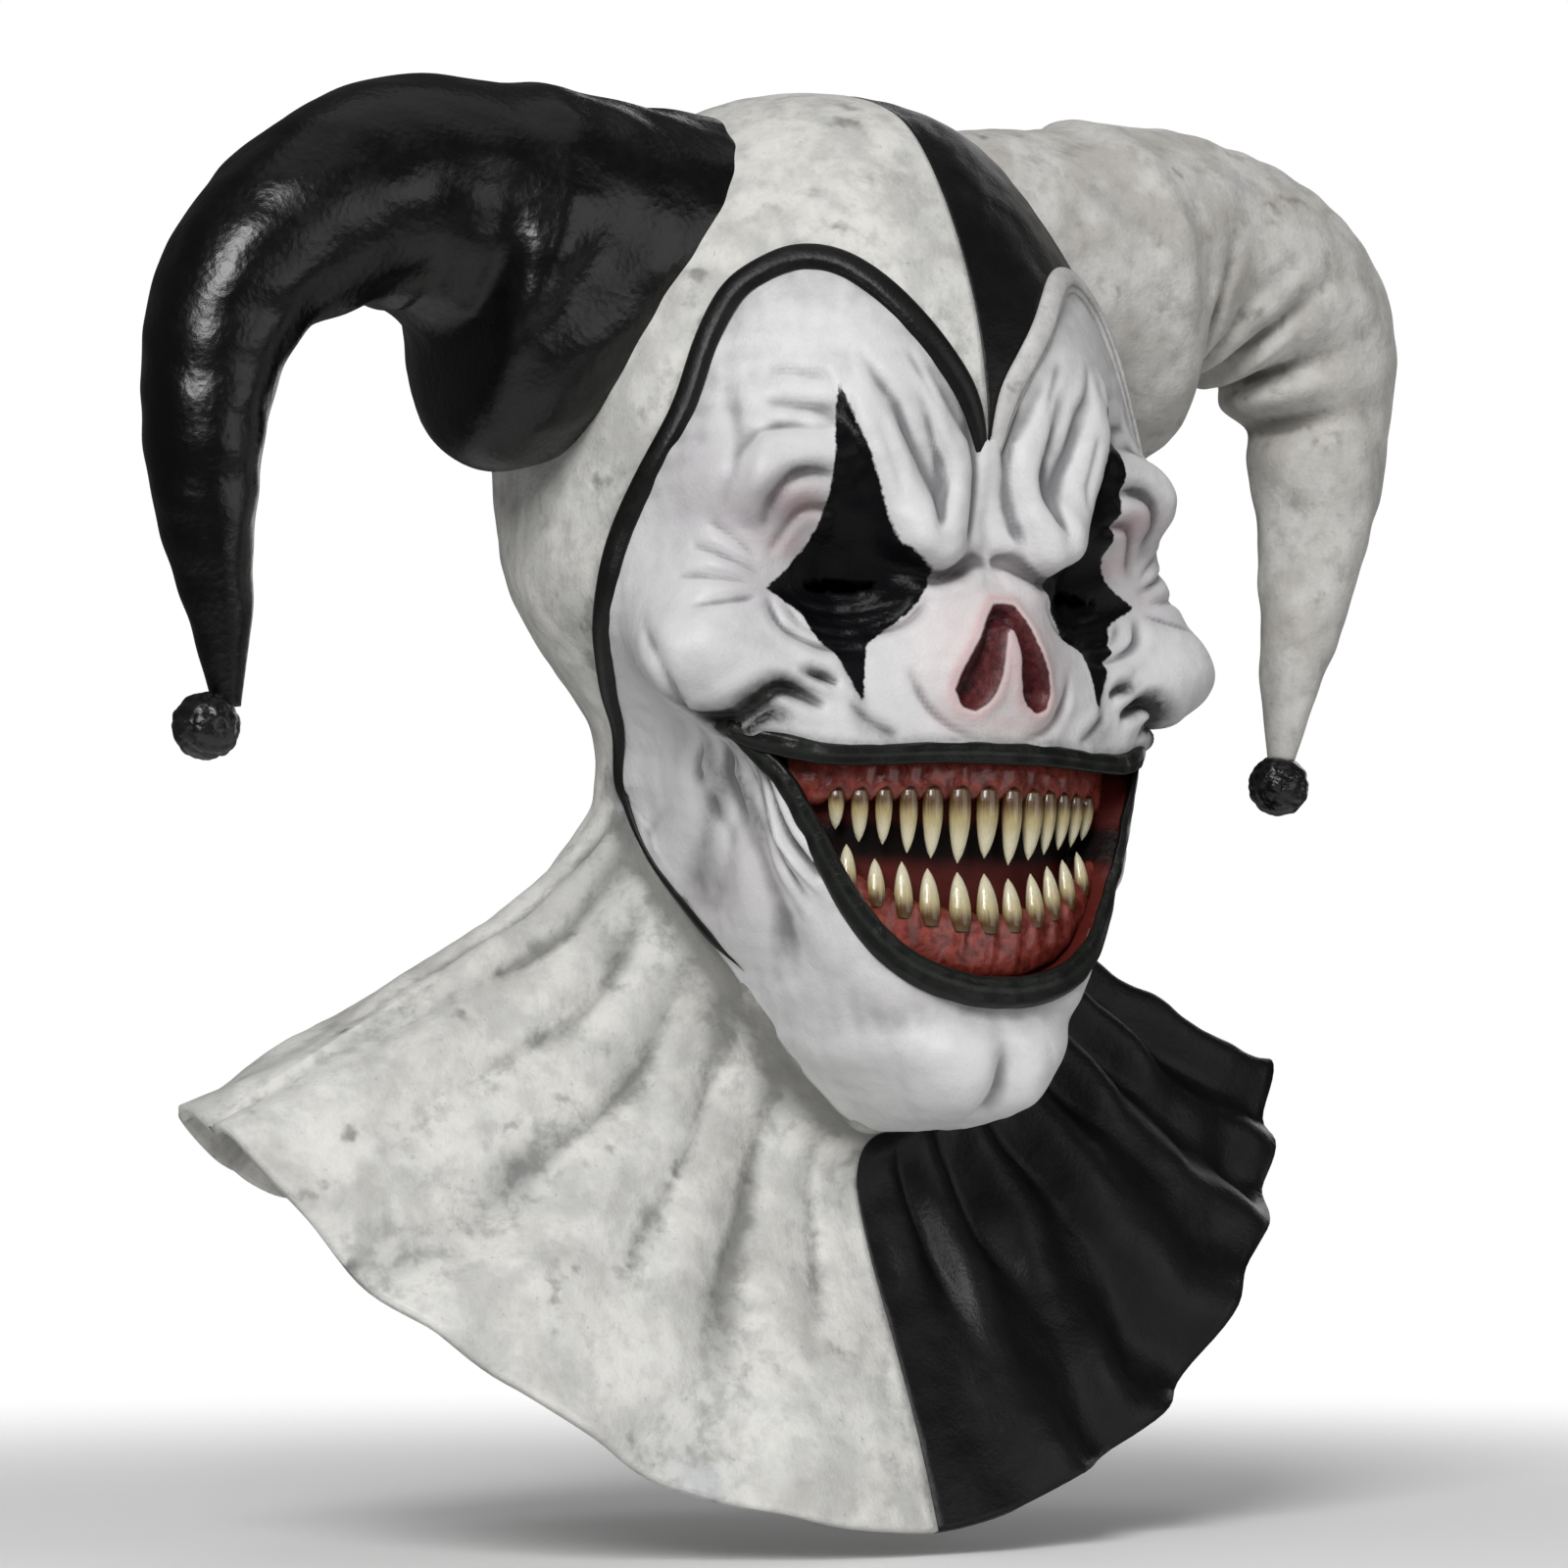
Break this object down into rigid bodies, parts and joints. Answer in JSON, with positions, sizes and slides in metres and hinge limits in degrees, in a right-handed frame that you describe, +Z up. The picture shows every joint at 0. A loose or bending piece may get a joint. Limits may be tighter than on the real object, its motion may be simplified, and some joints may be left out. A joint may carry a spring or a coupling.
{
  "type": "full head mask",
  "caption": "Hollow latex full head jester mask with a fanged grin, a hood in black and white halves, drooping horns with bells and a flared collar",
  "frame": {"origin": "inside of the crown, where it rests on the wearer's head", "axes": "the face looks along -Y, +X is the wearer's left, +Z is up"},
  "size_m": [0.4066, 0.2067, 0.3933],
  "materials": {
    "face_latex": "satin white paint with grey shading",
    "grimy_latex": "matte off-white with grey grime",
    "black_latex": "satin black",
    "black_horn": "gloss black",
    "pale_horn": "matte off-white, mottled",
    "bell": "gloss black, crinkled",
    "black_trim": "satin black",
    "pale_trim": "matte grey-white",
    "lips": "satin black",
    "gum": "gloss dark red",
    "tooth": "gloss ivory, brown at the root"
  },
  "bodies": {
    "root": {"face": "face_latex", "right_hood": "grimy_latex", "left_hood": "black_latex", "right_horn": "black_horn", "left_horn": "pale_horn", "right_bell": "bell", "left_bell": "bell", "right_trim": "black_trim", "left_trim": "pale_trim", "lips": "lips", "upper_gum": "gum", "lower_gum": "gum", "upper_tooth_01": "tooth", "upper_tooth_02": "tooth", "upper_tooth_03": "tooth", "upper_tooth_04": "tooth", "upper_tooth_05": "tooth", "upper_tooth_06": "tooth", "upper_tooth_07": "tooth", "upper_tooth_08": "tooth", "upper_tooth_09": "tooth", "upper_tooth_10": "tooth", "upper_tooth_11": "tooth", "upper_tooth_12": "tooth", "upper_tooth_13": "tooth", "lower_tooth_01": "tooth", "lower_tooth_02": "tooth", "lower_tooth_03": "tooth", "lower_tooth_04": "tooth", "lower_tooth_05": "tooth", "lower_tooth_06": "tooth", "lower_tooth_07": "tooth", "lower_tooth_08": "tooth", "lower_tooth_09": "tooth", "lower_tooth_10": "tooth", "lower_tooth_11": "tooth"}
  },
  "joints": []
}
